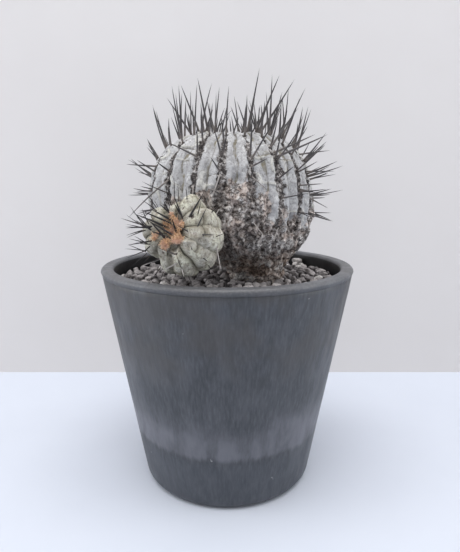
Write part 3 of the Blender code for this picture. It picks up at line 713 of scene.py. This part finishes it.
class Strands:
    """Collects tapered, curved strands and makes one piece of them."""

    def __init__(self, sides=6, steps=7):
        self.sides = sides
        self.steps = steps
        self.verts = []
        self.faces = []
        self.reach = []
        self.bleach = []

    def add(self, foot, direction, length, radius, bend, tip_share=0.12, bleach=0.0):
        """One strand: it leaves along `direction` and is bent by the vector `bend` by its tip."""
        across = direction.orthogonal().normalized()
        other = direction.cross(across)
        start = len(self.verts)
        for k in range(self.steps):
            s = k / self.steps
            middle = foot + direction * (length * s) + bend * (length * s * s)
            thick = radius * (1 - (1 - tip_share) * s**1.8)
            for i in range(self.sides):
                a = 2 * math.pi * i / self.sides
                self.verts.append(middle + across * (thick * math.cos(a)) + other * (thick * math.sin(a)))
                self.reach.append(s)
        self.verts.append(foot + direction * length + bend * length)
        self.reach.append(1.0)
        self.bleach += [bleach] * (self.steps * self.sides + 1)
        tip = len(self.verts) - 1
        for k in range(self.steps - 1):
            for i in range(self.sides):
                j = (i + 1) % self.sides
                low = start + k * self.sides
                self.faces.append((low + i, low + j, low + self.sides + j, low + self.sides + i))
        last = start + (self.steps - 1) * self.sides
        for i in range(self.sides):
            self.faces.append((last + i, last + (i + 1) % self.sides, tip))
        self.faces.append(tuple(start + i for i in reversed(range(self.sides))))

    def lump(self, middle, axes, radii, chance):
        """One closed cushion with a slightly uneven outline."""
        around, levels = 12, 7
        start = len(self.verts)
        for level in range(1, levels):
            tilt = math.pi * (level / levels - 0.5)
            for k in range(around):
                turn = 2 * math.pi * k / around
                way = (math.cos(tilt) * math.cos(turn), math.cos(tilt) * math.sin(turn), math.sin(tilt))
                swell = chance.uniform(0.85, 1.15)
                reaches = (a * (w * r * swell) for a, w, r in zip(axes, way, radii))
                self.verts.append(middle + sum(reaches, Vector()))
        self.verts += [middle - axes[2] * radii[2], middle + axes[2] * radii[2]]
        self.faces += closed_faces(levels - 1, around, start)
        self.reach += [0.4] * (len(self.verts) - start)
        self.bleach += [0.0] * (len(self.verts) - start)

    def piece(self, name, finish):
        verts = [tuple(v) for v in self.verts]
        return new_piece(name, verts, self.faces, finish, {"reach": self.reach, "bleach": self.bleach})


# How deep spines start under the skin, and how new growth sways to the light.
SPINE_ROOT, LISTED_ROOT = 0.9 * MM, 0.8 * MM
SWAY = Vector((0.1, 0.0, 0.08))


def areole_spines(strands, stem, u, rib, count, length, radius, chance, lean, spread, vary=(0.75, 1.12)):
    """The spines of one areole. They lean up the rib, fan out sideways and sway to the light."""
    point, outward, up, across = stem.frame(u, rib)
    for k in range(count):
        side = spread * ((k + 0.5) / count * 2 - 1) + chance.uniform(-0.22, 0.22)
        rise = lean + chance.uniform(-0.25, 0.25)
        direction = (outward + up * rise + across * side + SWAY).normalized()
        bend = up * chance.uniform(-0.03, 0.12) + across * chance.uniform(-0.09, 0.09)
        bend += outward * chance.uniform(-0.04, 0.04)
        foot = point - outward * SPINE_ROOT + across * side * 1.2 * MM
        foot += up * chance.uniform(-0.6, 0.6) * count * MM
        share = vary[0] + (vary[1] - vary[0]) * chance.random() ** 1.6
        strands.add(foot, direction, length * share, radius * chance.uniform(0.9, 1.15), bend)


def listed_spines(strands, stem, rib, table):
    """Single spines that stand out from the rest. Each reach is from foot to tip in the stem's own axes."""
    for at_rib, distance, reach, droop, radius, bleach in table:
        if round(at_rib) % stem.ribs != rib:
            continue
        point, outward, _, _ = stem.frame(stem.u_at(distance * MM), at_rib)
        way = Vector(stem.turn @ np.array(reach)) * MM
        bend = Vector((0, 0, -droop))
        foot = point - outward * LISTED_ROOT
        strands.add(foot, way.normalized() - bend, way.length, 1.12 * radius * MM, bend, 0.15, bleach)


# rib, distance from the crown (mm), reach (mm), droop, radius (mm), bleach
MAIN_LISTED = [
    (17, 63.0, (-21, -8, -20), 0.12, 0.5, 0.25), (0, 60.0, (-5, -5, -15), 0.05, 0.4, 0.9),
    (1, 56.0, (8, -5, 4), 0.0, 0.5, 0.1), (1, 61.0, (8, -4, -7), 0.0, 0.4, 0.5),
    (2, 50.0, (26, -6, 11), -0.03, 0.6, 0.1), (2, 47.0, (21, -4, 9), -0.03, 0.55, 0.1),
    (2, 43.0, (14, -2, 20), 0.03, 0.55, 0.1), (18, 50.0, (-15, -6, 7), 0.04, 0.5, 0.1),
    (18, 66.0, (-1, -4, -12), 0.0, 0.4, 0.6), (16, 55.0, (-17, -3, 1), 0.0, 0.5, 0.1),
    (3, 108.0, (10, -1, 9), -0.08, 0.5, 0.1), (0, 78.0, (-7, -9, -12), 0.05, 0.3, 0.8),
    (1, 84.0, (7, -8, -9), 0.06, 0.28, 0.9), (2, 80.0, (5, -9, -12), 0.0, 0.3, 0.7),
    (2, 88.0, (-4, -9, -8), 0.05, 0.28, 0.9), (2, 17.0, (7, -2, 36), -0.03, 0.62, 0.0),
    (3, 18.0, (14, 0, 33), 0.03, 0.65, 0.0), (3, 22.0, (19, -2, 29), -0.05, 0.65, 0.0),
    (4, 47.0, (17, -3, 2), 0.02, 0.42, 0.1), (4, 58.0, (15, -4, 0), 0.0, 0.4, 0.1),
    (4, 73.0, (11, -3, -6), 0.0, 0.36, 0.2), (3, 66.0, (12, -6, 1), 0.02, 0.38, 0.2),
    (17, 18.0, (-6, -2, 31), 0.0, 0.65, 0.0), (16, 20.0, (-11, 0, 28), 0.03, 0.62, 0.0),
    (15, 24.0, (-15, 2, 22), 0.0, 0.6, 0.0),
]
# Each stem's crown wool: distance from the crown (mm), rib, radius of the tuft (mm)
MAIN_TUFTS = [(1, 0, 3.0), (5, 2, 2.6), (5, 8, 2.6), (5, 14, 2.6), (9, 4, 2.4), (9, 11, 2.4), (9, 17, 2.4)]
OFFSET_TUFTS = [
    (0.5, 4, 2.0), (2.6, 4, 1.8), (4.8, 4, 1.6), (2.6, 9, 1.9),
    (4.8, 9, 1.9), (6.2, 0.7, 1.9), (5.4, 1.8, 2.0), (8.1, 2.8, 1.3),
    (6.6, 3.6, 1.2), (9.4, 5.8, 1.6), (7.4, 7.1, 1.9), (9.2, 7.2, 1.6),
    (7.4, 8.8, 2.2), (5.2, 8.3, 1.6),
]
OFFSET_LISTED = [
    (9, 5.4, (-15, 9, 8), 0.0, 0.6, 0.0), (0, 3.0, (-21, 9, 9), 0.04, 0.62, 0.0),
    (1, 4.0, (-17, 7, 10), 0.0, 0.6, 0.0), (2, 4.3, (-11, 6, 9), 0.0, 0.55, 0.0),
    (8, 4.1, (-9, 3, 9), 0.0, 0.55, 0.0), (9, 3.0, (0, 7, 8), 0.0, 0.55, 0.0),
    (7, 5.8, (-3, 6, 8), 0.0, 0.5, 0.0), (6, 5.0, (-4, 6, 9), 0.0, 0.5, 0.0),
    (3, 7.0, (-2, 7, 7), 0.0, 0.5, 0.0), (3, 8.7, (-4, 4, 6), 0.0, 0.42, 0.0),
    (2, 9.4, (-1, 4, 6), 0.0, 0.42, 0.0), (1, 7.5, (-4, 13, 5), -0.04, 0.5, 0.0),
    (1, 8.9, (11, 11, 7), 0.0, 0.55, 0.0), (4, 4.3, (-19, -2, 8), 0.0, 0.5, 0.0),
    (5, 9.0, (-17, 5, 6), -0.06, 0.42, 0.1), (5, 10.0, (-13, 0, 6), 0.0, 0.4, 0.1),
    (5.4, 9.6, (-9, 6, 6), 0.0, 0.42, 0.0), (6, 9.8, (-13, -3, 5), 0.0, 0.42, 0.0),
    (0, 12.0, (-7, 4, 5), 0.0, 0.4, 0.1), (0, 12.0, (8, 12, 4), 0.0, 0.4, 0.1),
    (0, 12.4, (12, -2, 4), 0.04, 0.4, 0.1), (8, 13.0, (-10, 4, 5), 0.0, 0.36, 0.15),
    (7, 16.0, (-9, -4, 3), 0.0, 0.34, 0.9), (8, 17.0, (-9, -5, 2), 0.0, 0.34, 0.9),
    (0, 25.0, (4, -17, 2), 0.03, 0.36, 0.9), (8, 21.0, (2, -5, 2), 0.0, 0.3, 1.0),
    (9, 25.0, (0, -4, 1), 0.0, 0.3, 1.0),
]


def main_spines(rib, finish):
    """One rib's areoles, from the crown down: many long spines near the crown, few short ones below."""
    chance = random.Random(1700 + rib)
    strands = Strands()
    rows = [
        # (spines, length, radius, lean up the rib, sideways spread, share of areoles that keep them)
        (1, 22, 0.5, -0.1, 0.5, 0.6),
        (2, 27, 0.55, 0.0, 0.5, 0.75),
        (1, 31, 0.6, 0.25, 0.4, 0.95),
        (1, 26, 0.56, 0.4, 0.4, 0.95),
        (1, 23, 0.52, 0.3, 0.5, 0.9),
        (1, 20, 0.48, 0.1, 0.5, 0.85),
        (1, 18, 0.44, -0.1, 0.5, 0.75),
        (1, 15, 0.4, -0.3, 0.5, 0.65),
    ]
    well_kept = rib in (3, 4, 5, 14, 15)
    for distance, (count, length, radius, lean, spread, kept) in zip(areoles(rib), rows):
        u = MAIN.u_at(distance)
        point = MAIN.frame(u, rib)[0]
        count += (chance.random() < 0.35) - (chance.random() < 0.15) + (well_kept and distance > 30 * MM)
        if chance.random() > kept + 0.4 * well_kept or (point - OFFSET_CENTRE).length < 26 * MM:
            continue
        count = max(1, count)
        areole_spines(strands, MAIN, u, rib, count, length * MM, radius * MM, chance, lean, spread, (0.5, 1.1))
    if rib % 3 == 1:
        u = MAIN.u_at(10 * MM)
        areole_spines(strands, MAIN, u, rib, 1, 22 * MM, 0.55 * MM, chance, -0.1, 0.5, (0.6, 1.0))
    listed_spines(strands, MAIN, rib, MAIN_LISTED)
    piece = strands.piece(f"main_rib_{rib + 1:02d}_spines_visual", finish)
    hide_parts(f"main_rib_{rib + 1:02d}_spines")


# The middle of the main stem beside the offset; no old spines of the offset stand inside the globe.
MAIN_MIDDLE = Vector((2.4, -3.0, 158)) * MM


def offset_spines(rib, finish):
    """One of the offset's ribs: thick young spines at its crown and a few fine old ones behind."""
    chance = random.Random(900 + rib)
    strands = Strands()
    listed_spines(strands, OFFSET, rib, OFFSET_LISTED)
    crowded = rib in (5, 6)
    rows = [
        # (distance from the crown, spines, length, radius, lean, spread)
        (15.5, 4 if crowded else 1, 14, 0.3, 0.1, 0.7),
        (22.0, 4 if crowded else 1, 12, 0.28, 0.0, 0.8),
        (29.0, 2 if crowded else 1, 9, 0.24, 0.0, 0.8),
    ]
    for below, count, length, radius, lean, spread in rows:
        u = OFFSET.u_at((below + chance.uniform(-0.8, 0.8)) * MM)
        point = OFFSET.frame(u, rib)[0]
        if (point - MAIN_MIDDLE).length < 47 * MM:
            continue
        areole_spines(strands, OFFSET, u, rib, count, length * MM, radius * MM, chance, lean, spread)
    piece = strands.piece(f"offset_rib_{rib + 1:02d}_spines_visual", finish)
    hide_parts(f"offset_rib_{rib + 1:02d}_spines")


def wool(name, stem, spots, raised, fibres, finish, seed):
    """Cushions of short matted fibres. Each spot is (distance from the crown, rib, radius of the tuft)."""
    chance = random.Random(seed)
    strands = Strands(sides=3, steps=3)
    for distance, rib, radius in spots:
        point, outward, up, across = stem.frame(stem.u_at(distance * MM), rib)
        radius = radius * MM
        point = point + outward * raised
        strands.lump(point, (across, up, outward), (0.7 * radius, 0.7 * radius, 0.5 * radius), chance)
        for _ in range(int(fibres * (radius / (2 * MM)) ** 2)):
            turn = chance.uniform(0, 2 * math.pi)
            away = radius * math.sqrt(chance.random())
            side = across * math.cos(turn) + up * math.sin(turn)
            raise_by = 0.5 * radius * math.sqrt(1 - (away / radius) ** 2) - 0.3 * MM
            foot = point + side * away + outward * raise_by
            direction = (outward * 0.7 + side * chance.uniform(-0.3, 1.1)).normalized()
            curl = Vector([chance.uniform(-0.5, 0.5) for _ in range(3)])
            strands.add(foot, direction, chance.uniform(0.9, 2.1) * MM, 0.15 * MM, curl, 0.4)
    return strands.piece(name, finish)


# ---------------------------------------------------------------- pot, gravel

POT_BASE = 53.0 * MM
POT_WALL = 6.0 * MM
POT_FLOOR = 5.5 * MM
FOOT_ROUND = 6.5 * MM
LIP_ROUND = 1.9 * MM
LIP_DEPTH = 3.8 * MM
LIP_INNER = 69.8 * MM
POT_COLUMNS = 240
DRAIN_HOLES = 4
DRAIN_RADIUS = 5 * MM
DRAIN_REACH = 20 * MM


def revolved(profile, columns):
    """Points and faces of a turned profile that starts and ends on the axis."""
    turn = np.linspace(0, 2 * math.pi, columns, endpoint=False)
    inner = np.array(profile[1:-1])
    x = inner[:, 0:1] * np.cos(turn)
    y = inner[:, 0:1] * np.sin(turn)
    z = np.repeat(inner[:, 1:2], columns, axis=1)
    points = np.stack([x, y, z], axis=-1).reshape(-1, 3)
    points = np.vstack([points, [[0, 0, profile[0][1]], [0, 0, profile[-1][1]]]])
    return points, closed_faces(len(inner), columns)


def arc(centre, radius, start, end, steps):
    angles = np.radians(np.linspace(start, end, steps + 1))
    return [(centre[0] + radius * math.cos(a), centre[1] + radius * math.sin(a)) for a in angles]


def pot_profile(rim, height):
    """The pot's outline from under its foot to its floor, and how many of its points come before the mouth."""
    taper = (rim - POT_BASE) / height
    lean = math.degrees(math.atan(taper))
    step = height - LIP_DEPTH

    def side(z):
        return POT_BASE + taper * z

    foot = (side(FOOT_ROUND) - FOOT_ROUND / math.cos(math.radians(lean)), FOOT_ROUND)
    profile = [(0.0, 0.0), (20 * MM, 0.0), (38 * MM, 0.0)]
    profile += arc(foot, FOOT_ROUND, -90, -lean, 10)
    profile += [(side(z), z) for z in np.linspace(12 * MM, step - 1.0 * MM, 40)]
    profile += [(side(step) - 0.5 * MM, step - 0.3 * MM), (side(step), step + 0.3 * MM)]
    profile += arc((rim - LIP_ROUND, height - LIP_ROUND), LIP_ROUND, 0, 90, 7)
    profile += [(0.5 * (rim + LIP_INNER), height)]
    profile += arc((LIP_INNER + LIP_ROUND, height - LIP_ROUND), LIP_ROUND, 90, 180, 7)
    outside = len(profile)
    profile += [(LIP_INNER, height - 4 * MM), (side(height - 6 * MM) - POT_WALL, height - 6 * MM)]
    inner_foot = side(POT_FLOOR) - POT_WALL
    profile += [(inner_foot, POT_FLOOR + 4 * MM), (inner_foot - 4 * MM, POT_FLOOR), (0.0, POT_FLOOR)]
    return profile, outside


def drain_cutters():
    """Upright drums that cut the drain holes out of the pot's floor."""
    work = bmesh.new()
    for i in range(DRAIN_HOLES):
        turn = Matrix.Rotation(2 * math.pi * (i + 0.5) / DRAIN_HOLES, 4, "Z")
        shape = {"segments": 40, "radius1": DRAIN_RADIUS, "radius2": DRAIN_RADIUS, "depth": POT_FLOOR * 3}
        place = turn @ Matrix.Translation((DRAIN_REACH, 0, POT_FLOOR / 2))
        bmesh.ops.create_cone(work, cap_ends=True, matrix=place, **shape)
    mesh = bpy.data.meshes.new("drain_cutters")
    work.to_mesh(mesh)
    work.free()
    return add_object("drain_cutters", mesh)


def drill(pot):
    """Cuts the drain holes, and welds away the slivers that the cut leaves."""
    tool = drain_cutters()
    cut = pot.modifiers.new("drain_holes", "BOOLEAN")
    cut.operation = "DIFFERENCE"
    cut.solver = "EXACT"
    cut.object = tool
    bpy.context.view_layer.update()
    finished = bpy.data.meshes.new_from_object(pot.evaluated_get(bpy.context.evaluated_depsgraph_get()))
    pot.modifiers.clear()
    welded = bmesh.new()
    welded.from_mesh(finished)
    bmesh.ops.remove_doubles(welded, verts=welded.verts, dist=0.01 * MM)
    bmesh.ops.dissolve_degenerate(welded, edges=welded.edges, dist=0.01 * MM)
    welded.to_mesh(finished)
    welded.free()
    pot.data = finished
    bpy.data.objects.remove(tool)


def build_pot(finish):
    """The tapered pot with its thick rounded lip, open inside, with its drain holes."""
    rim, _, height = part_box("pot")[1]
    profile, outside = pot_profile(rim, height)
    points, faces = revolved(profile, POT_COLUMNS)
    reach = np.linalg.norm(points[:, :2], axis=1)
    radial = points[:, :2] / (reach[:, None] + 1e-9)
    ring = np.clip(np.arange(len(points)) // POT_COLUMNS, 0, len(profile) - 3)
    push = 0.12 * MM * value_noise(points, 30 * MM, 51) + 0.05 * MM * value_noise(points, 6 * MM, 52)
    push = np.where(reach > 30 * MM, push, 0) * (points[:, 2] > 8 * MM)
    points[:, :2] += radial * push[:, None]
    # 1 on the inner faces, which the finish paints near-black as painted shade.
    inside = (ring >= outside - 2).astype(float)
    # the last two points are the middles of the underside and of the floor
    inside[-2:] = (0.0, 1.0)
    pot = new_piece("pot_visual", points, faces, finish, {"inside": inside})
    pot.data.set_sharp_from_angle(angle=math.radians(55))
    drill(pot)
    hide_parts("pot")


def stone_shape(chance):
    """One rounded, chipped stone of unit size as (points, faces)."""
    work = bmesh.new()
    bmesh.ops.create_icosphere(work, subdivisions=3, radius=1.0)
    points = np.array([v.co[:] for v in work.verts])
    faces = [[v.index for v in face.verts] for face in work.faces]
    work.free()
    for _ in range(13):
        side = np.array([chance.gauss(0, 1) for _ in range(3)])
        side /= np.linalg.norm(side)
        over = points @ side - chance.uniform(0.55, 0.84)
        points -= np.maximum(over, 0)[:, None] * side * 0.95
    shift = chance.uniform(0, 50)
    length = np.linalg.norm(points, axis=1)[:, None]
    bumps = 0.16 * rough_noise(points + shift, 0.7, 3) + 0.06 * value_noise(points + shift, 0.22, 9)
    points = points + points / length * bumps[:, None]
    return points, faces


def scattered(chance, reach, spacing):
    """Places over a disc, no two closer than `spacing`, that leave room for the taproot."""
    spots = []
    for _ in range(9000):
        radius = reach * math.sqrt(chance.random())
        turn = chance.uniform(0, 2 * math.pi)
        x, y = radius * math.cos(turn), radius * math.sin(turn)
        clear = all((x - a) ** 2 + (y - b) ** 2 > spacing**2 for a, b in spots)
        if clear and math.hypot(x - 18 * MM, y + 8 * MM) > 12 * MM:
            spots.append((x, y))
    return spots


def placed_stone(chance, shapes, place, size, squash):
    points, faces = chance.choice(shapes)
    turn = Matrix.Rotation(chance.uniform(0, 2 * math.pi), 3, "Z")
    spin = turn @ Matrix.Rotation(chance.gauss(0, 0.35), 3, "X")
    scale = np.array([size, size * chance.uniform(0.66, 0.92), size * squash])
    return (points * scale) @ np.array(spin).T + np.array(place), np.array(faces)


# The two layers: spacing, depth of the stones' middles under the bed's top, and mean tone, dark to pale; the
# lower layer's dark mean tone is painted shade between the stones.
GRAVEL_LAYERS = ((4.0, 4.3, 0.25), (4.7, 1.8, 0.6))
BIG_PALE_STONE = (50 * MM, 43 * MM)


def laid_stones(chance, reach, top):
    """Every stone as (place, size, squash, tone with painted shade). The bed falls a little from its middle to
    the wall.
    """
    stones = []
    for spacing, drop, mean_tone_and_shade in GRAVEL_LAYERS:
        for x, y in scattered(chance, reach - 2.6 * MM, spacing * MM):
            radius = math.hypot(x, y)
            z = top - 1.8 * MM * (radius / reach) ** 2 - drop * MM + chance.uniform(-0.7, 0.7) * MM
            size = min(chance.uniform(2.3, 3.7) * MM, (reach - radius) * 0.98)
            # Each stone's tone varies at random about its layer's mean; the lower layer's darker mean is
            # painted shade between the stones above it.
            tone_and_shade = min(1.0, max(0.0, chance.gauss(mean_tone_and_shade, 0.22)))
            stones.append(((x, y, z), size, chance.uniform(0.55, 0.8), tone_and_shade))
    stones.append(((*BIG_PALE_STONE, top - 0.4 * MM), 3.9 * MM, 0.8, 0.9))
    return stones


def build_gravel(finish):
    """Loose lava stones in two layers over the mix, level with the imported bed, joined as one piece."""
    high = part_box("gravel_bed")[1]
    chance = random.Random(12)
    shapes = [stone_shape(chance) for _ in range(14)]
    verts, faces, tones_and_shade = [], [], []
    count = 0
    for place, size, squash, tone_and_shade in laid_stones(chance, high[0] - 0.4 * MM, high[2]):
        points, polygons = placed_stone(chance, shapes, place, size, squash)
        verts.append(points)
        faces += (polygons + count).tolist()
        tones_and_shade.append(np.full(len(points), tone_and_shade))
        count += len(points)
    piece = new_piece("gravel_visual", np.vstack(verts), faces, finish, {"tone_and_shade": np.concatenate(tones_and_shade)})
    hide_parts("gravel_bed", *(f"gravel_stone_{i + 1:02d}" for i in range(14)))


# ---------------------------------------------------------------- stage

WALL_PLACE = 156 * MM
SHEET_REACH = 3.0
FLOOR_HEIGHT = -0.2 * MM
SKY_BEHIND, SKY_AHEAD = (0.33, 0.335, 0.35), (0.92, 0.93, 0.96)
# name, place, the height aimed at on the middle line, size, power and colour
LIGHTS = (
    ("overhead", (0.0, -0.35, 1.4), 0.1, 1.4, 16.0, (1.0, 0.995, 0.99)),
    ("left_side", (-1.1, -0.1, 0.5), 0.12, 1.0, 6.5, (0.98, 0.99, 1.0)),
    ("right_side", (1.1, -0.1, 0.5), 0.12, 1.0, 5.0, (0.98, 0.99, 1.0)),
)
CAMERA_PLACE = (1.7 * MM, -305.7 * MM, 188.2 * MM)
CAMERA_TILT = 11.1


def flat_sheet(name, corners, finish):
    mesh = bpy.data.meshes.new(name)
    mesh.from_pydata(corners, [], [(0, 1, 2, 3)])
    mesh.materials.append(finish)
    sheet = add_object(name, mesh)


def wall_finish():
    """Pale plaster, seen only from its front, so that it hides nothing from behind."""
    made = plain_finish("wall_finish", 0.9, 0.2, 150 * MM, (0.662, 0.642, 0.64), (0.686, 0.668, 0.665))
    behind = made.node("ShaderNodeNewGeometry", {}, "Backfacing")
    clear = made.node("ShaderNodeBsdfTransparent", {})
    seen = made.node("ShaderNodeMixShader", {0: behind, 1: made.shader.outputs[0], 2: clear})
    made.tree.links.new(seen, made.tree.nodes["Material Output"].inputs["Surface"])
    return made.done()


def soft_light(name, place, aim, size, power, colour):
    light = bpy.data.lights.new(name, "AREA")
    light.shape = "DISK"
    light.size = size
    light.energy = power
    light.color = colour
    lamp = add_object(name, light)
    lamp.location = place
    lamp.rotation_euler = (Vector((0, 0, aim)) - Vector(place)).to_track_quat("-Z", "Y").to_euler()


def build_sky():
    """Even light, brighter from above and from behind the plant than from the front."""
    world = bpy.data.worlds.new("studio")
    bpy.context.scene.world = world
    world.use_nodes = True
    tree = world.node_tree
    way = add_node(tree, "ShaderNodeTexCoord", {}, "Generated")
    ahead, above = (add_node(tree, "ShaderNodeSeparateXYZ", {0: way}, name) for name in "YZ")
    raised = add_node(tree, "ShaderNodeMath", {0: above, 1: 0.9, 2: ahead}, operation="MULTIPLY_ADD")
    share = add_node(tree, "ShaderNodeMapRange", {"Value": raised, "From Min": -0.9, "From Max": -0.05})
    shades = {"Factor": share, 6: solid(SKY_BEHIND), 7: solid(SKY_AHEAD)}
    colour = add_node(tree, "ShaderNodeMix", shades, 2, data_type="RGBA")
    tree.links.new(colour, tree.nodes["Background"].inputs["Color"])
    tree.nodes["Background"].inputs["Strength"].default_value = 0.8


def build_stage():
    """A plain pale floor and wall, soft light from above and both sides, and the camera."""
    far, low, back = SHEET_REACH, FLOOR_HEIGHT, WALL_PLACE
    ground = [(-far, -far, low), (far, -far, low), (far, far, low), (-far, far, low)]
    wall = [(-far, back, low), (far, back, low), (far, back, far), (-far, back, far)]
    flat_sheet("floor", ground, floor_finish())
    flat_sheet("backdrop", wall, wall_finish())
    build_sky()
    for light in LIGHTS:
        soft_light(*light)
    lens = bpy.data.cameras.new("camera")
    lens.lens = 31.96
    lens.sensor_width = 36.0
    camera = add_object("camera", lens)
    camera.location = CAMERA_PLACE
    camera.rotation_euler = (math.radians(90 - CAMERA_TILT), 0.0, 0.0)
    bpy.context.scene.camera = camera
    bpy.context.scene.view_settings.view_transform = "Standard"


# ---------------------------------------------------------------- everything together

# Each finish's dark foot, middle and tip, or its dark, middle and pale wool with the tint of some tufts.
OLD_SPINES = ((0.2, 0.172, 0.155), (0.085, 0.078, 0.079), (0.03, 0.027, 0.028))
YOUNG_SPINES = ((0.08, 0.06, 0.05), (0.022, 0.02, 0.021), (0.012, 0.011, 0.012))
GREY_WOOL = ((0.12, 0.1, 0.085), (0.3, 0.26, 0.22), (0.5, 0.46, 0.41), (0.24, 0.2, 0.17))
ORANGE_WOOL = ((0.32, 0.15, 0.07), (0.86, 0.52, 0.28), (1.0, 0.82, 0.6), (0.78, 0.52, 0.42))


def build_stems():
    """Both skins, as (rows, points round each rib, how far up from the root the skin starts)."""
    main_stem = stem_piece("main_stem_visual", MAIN, 320, 32, 0.1, main_relief, main_skin_finish())
    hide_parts("main_stem")
    offset = stem_piece("offset_stem_visual", OFFSET, 130, 26, 0.03, offset_relief, offset_skin_finish())
    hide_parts("offset_stem")


def build_spines():
    old = spine_finish("spine_finish", *OLD_SPINES)
    young = spine_finish("young_spine_finish", *YOUNG_SPINES)
    for rib in range(MAIN.ribs):
        main_spines(rib, old)
    for rib in range(OFFSET.ribs):
        offset_spines(rib, young)


def build_wool():
    grey = felt_finish("grey_wool_finish", *GREY_WOOL)
    crown = wool("main_crown_wool_visual", MAIN, MAIN_TUFTS, 0.0, 150, grey, 5)
    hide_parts("main_crown_wool")
    orange = felt_finish("orange_wool_finish", *ORANGE_WOOL)
    young = wool("offset_crown_wool_visual", OFFSET, OFFSET_TUFTS, 0.6 * MM, 210, orange, 6)
    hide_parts("offset_crown_wool")


def main():
    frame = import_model()
    build_stage()
    build_pot(pot_finish())
    build_gravel(gravel_finish())
    build_stems()
    build_spines()
    build_wool()
    for node, finish in (("potting_mix", mix_finish()), ("drainage_net", net_finish())):
        for slot in frame["nodes"][node].material_slots:
            slot.material = finish


main()
